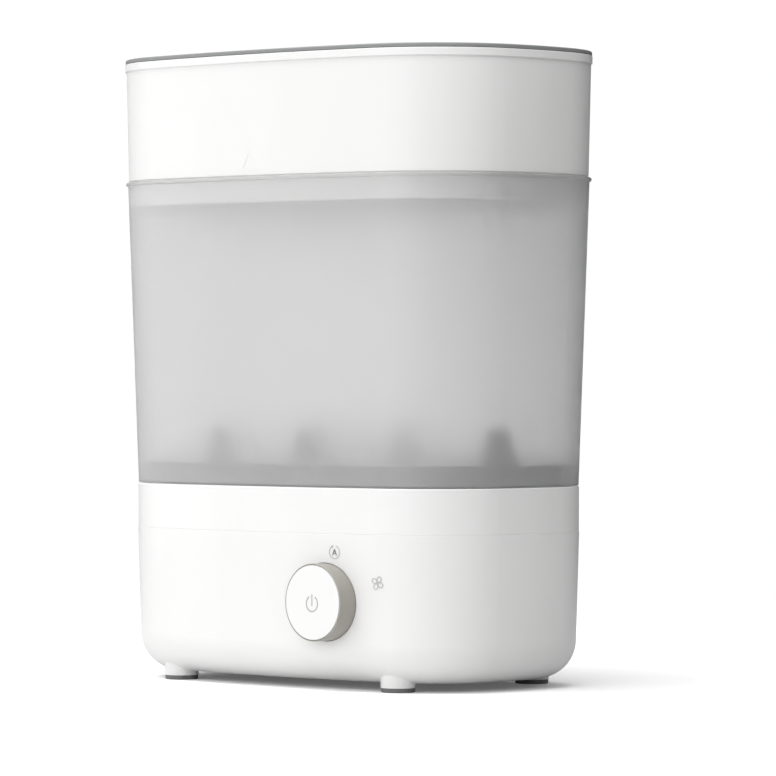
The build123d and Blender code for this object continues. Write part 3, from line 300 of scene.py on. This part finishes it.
def add_camera():
    data = bpy.data.cameras.new("camera")
    data.lens = CAMERA_LENS
    camera = bpy.data.objects.new("camera", data)
    across, along = math.sin(CAMERA_AZIMUTH), -math.cos(CAMERA_AZIMUTH)
    camera.location = (CAMERA_REACH * across, CAMERA_REACH * along, CAMERA_HEIGHT)
    camera.rotation_euler = (math.pi / 2 - PITCH_DOWN, 0.0, CAMERA_AZIMUTH - YAW_OFF_AXIS)
    bpy.context.scene.collection.objects.link(camera)
    bpy.context.scene.camera = camera


WHITE = (1.0, 1.0, 1.0)
# Half the floor's width, and how far from the middle it starts to fade, in metres.
FLOOR_REACH, FLOOR_FADE_FROM = 3.0, 0.55
FLOOR_ROUGHNESS, FLOOR_SPECULAR = 0.9, 0.1
# What the floor throws back at the object, and how bright it looks from the camera.
FLOOR_LEVELS = (("Base Color", 0.74, 1.12), ("Emission Strength", 0.0, 0.09))


def add_floor():
    """A white floor that fades into the white backdrop some way off."""
    mesh = bpy.data.meshes.new("floor")
    reach = FLOOR_REACH
    corners = [(-reach, -reach, 0), (reach, -reach, 0), (reach, reach, 0), (-reach, reach, 0)]
    mesh.from_pydata(corners, [], [(0, 1, 2, 3)])
    floor = bpy.data.objects.new("floor", mesh)
    bpy.context.scene.collection.objects.link(floor)
    paint = Shader("floor_white", WHITE, FLOOR_ROUGHNESS)
    paint.set("Specular IOR Level", FLOOR_SPECULAR)
    paint.set("Emission Color", (*WHITE, 1.0))
    seen = paint.node("ShaderNodeLightPath").outputs["Is Camera Ray"]
    for label, unseen_value, seen_value in FLOOR_LEVELS:
        level = map_range(paint.tree, seen, 0.0, 1.0, unseen_value, seen_value)
        paint.link(level, paint.bsdf.inputs[label])
    from_middle = paint.vector_math("LENGTH", paint.coords)["Value"]
    fade = map_range(paint.tree, from_middle, FLOOR_FADE_FROM, FLOOR_FADE_FROM * 2, 1.0, 0.0)
    paint.link(fade, paint.bsdf.inputs["Alpha"])
    mesh.materials.append(paint.material)


LIGHT_TARGET = Vector((0.0, 0.0, 0.18))


def add_softbox(name, azimuth, elevation, distance, size, power):
    """A rectangular light aimed at the object; azimuth 0 is in front, 90 is to the right."""
    data = bpy.data.lights.new(name, "AREA")
    data.shape = "RECTANGLE"
    data.size, data.size_y = size
    data.energy = power
    light = bpy.data.objects.new(name, data)
    turn, lift = math.radians(azimuth), math.radians(elevation)
    away = Vector((math.sin(turn) * math.cos(lift), -math.cos(turn) * math.cos(lift), math.sin(lift)))
    light.location = LIGHT_TARGET + distance * away
    light.rotation_euler = away.to_track_quat("Z", "Y").to_euler()
    bpy.context.scene.collection.objects.link(light)


# The sky that lights the object: its brightest side, its lowest and highest strength, and how
# nearly opposite that side it is at its lowest (-1 is straight opposite).
SKY_BRIGHT_SIDE = Vector((-0.20, -0.80, 0.55)).normalized()
SKY_DARK, SKY_BRIGHT, SKY_FADE_START = 0.0, 0.92, -0.7
# The same for the sky that shows through the frosted wall.
THROUGH_BRIGHT_SIDE = Vector((-0.95, 0.31, 0.0)).normalized()
THROUGH_DARK, THROUGH_BRIGHT, THROUGH_FADE_START = 0.0, 0.86, -1.0
BACKDROP = 1.02


def add_sky():
    """
    White behind the object. Light falls on it from a sky that fades towards the back and right, and what
    shows through the frosted wall is a second sky that fades towards the right.
    """
    world = bpy.data.worlds.new("studio")
    bpy.context.scene.world = world
    world.use_nodes = True
    nodes, links = world.node_tree.nodes, world.node_tree.links
    direction = nodes.new("ShaderNodeTexCoord").outputs["Generated"]

    def plain(strength):
        made = nodes.new("ShaderNodeBackground")
        made.inputs["Color"].default_value = (*WHITE, 1.0)
        made.inputs["Strength"].default_value = strength
        return made

    def graded(bright_side, start, low, high):
        facing = nodes.new("ShaderNodeVectorMath")
        facing.operation = "DOT_PRODUCT"
        facing.inputs[1].default_value = bright_side
        links.new(direction, facing.inputs[0])
        made = plain(1.0)
        level = map_range(world.node_tree, facing.outputs["Value"], start, 1.0, low, high)
        links.new(level, made.inputs["Strength"])
        return made

    path = nodes.new("ShaderNodeLightPath")
    shown = graded(SKY_BRIGHT_SIDE, SKY_FADE_START, SKY_DARK, SKY_BRIGHT).outputs["Background"]
    through = graded(THROUGH_BRIGHT_SIDE, THROUGH_FADE_START, THROUGH_DARK, THROUGH_BRIGHT)
    for ray, sky in (("Is Camera Ray", plain(BACKDROP)), ("Is Transmission Ray", through)):
        mix = nodes.new("ShaderNodeMixShader")
        links.new(path.outputs[ray], mix.inputs["Fac"])
        links.new(shown, mix.inputs[1])
        links.new(sky.outputs["Background"], mix.inputs[2])
        shown = mix.outputs["Shader"]
    links.new(shown, nodes["World Output"].inputs["Surface"])


# name, azimuth and elevation in degrees, distance and size in metres, power in watts
SOFTBOXES = [
    ("key", 6, 16, 2.8, (2.0, 1.6), 14.6),
    ("overhead", -55, 69, 2.0, (1.6, 1.2), 24.0),
    ("right_high", 72, 63, 0.7, (0.4, 0.3), 1.6),
    ("left_edge", -61, 4, 2.4, (0.4, 1.6), 4.4),
]


def add_lights():
    for softbox in SOFTBOXES:
        add_softbox(*softbox)


dress_nodes(build_materials())
bpy.context.scene.view_settings.view_transform = "Standard"
add_camera()
add_floor()
add_sky()
add_lights()
